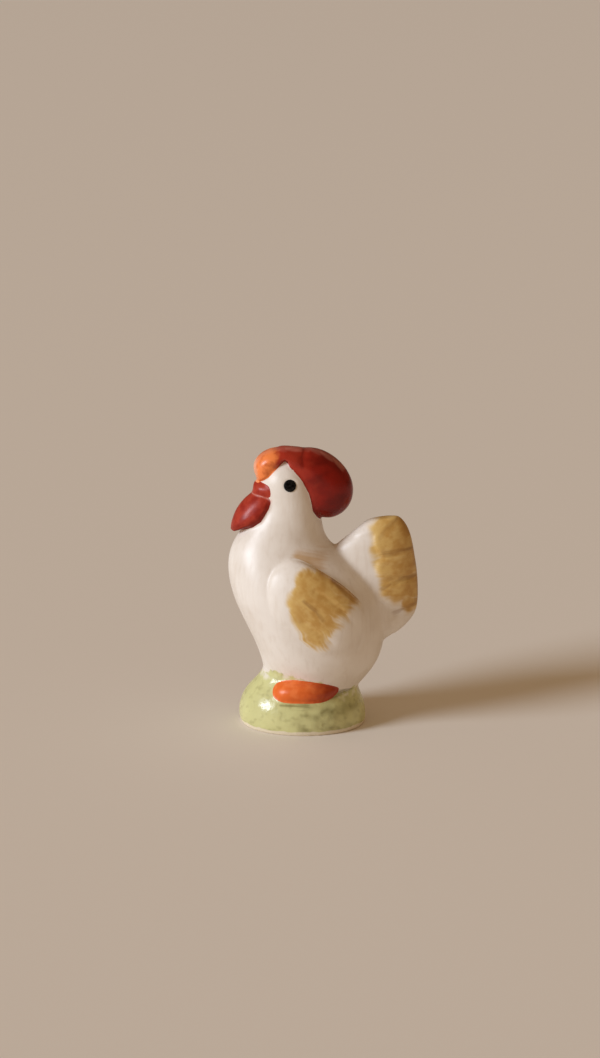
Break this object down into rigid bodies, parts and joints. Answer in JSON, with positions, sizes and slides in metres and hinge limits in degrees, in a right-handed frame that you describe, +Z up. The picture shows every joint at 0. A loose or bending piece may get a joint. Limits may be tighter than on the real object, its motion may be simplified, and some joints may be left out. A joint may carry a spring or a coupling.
{
  "type": "ceramic rooster figurine",
  "caption": "Small glazed ceramic rooster on a green mound, with a rounded red comb, relief wings, a fan tail of lobed feathers and a flat underside to stand on.",
  "frame": {"origin": "centre of the mound's underside, on the ground plane", "axes": "+Z up; the beak points to -X and the tail to +X; -Y is the bird's left side"},
  "size_m": [0.0531, 0.034, 0.0797],
  "materials": {
    "white_glaze": "transparent gloss glaze over brushed colour",
    "green_glaze": "transparent gloss glaze over brushed colour",
    "red_glaze": "transparent gloss glaze over brushed colour",
    "black_glaze": "transparent gloss glaze over brushed colour",
    "ochre_glaze": "transparent gloss glaze over brushed colour",
    "orange_glaze": "transparent gloss glaze over brushed colour"
  },
  "bodies": {
    "root": {"body": "white_glaze", "mound": "green_glaze", "comb": "red_glaze", "beak": "red_glaze", "wattle": "red_glaze", "left_eye": "black_glaze", "right_eye": "black_glaze", "left_wing": "ochre_glaze", "right_wing": "ochre_glaze", "tail_fan": "white_glaze", "tail_feather_1": "ochre_glaze", "tail_feather_2": "ochre_glaze", "tail_feather_3": "ochre_glaze", "tail_feather_4": "ochre_glaze", "tail_feather_5": "ochre_glaze", "left_foot": "orange_glaze", "right_foot": "orange_glaze"}
  },
  "joints": []
}
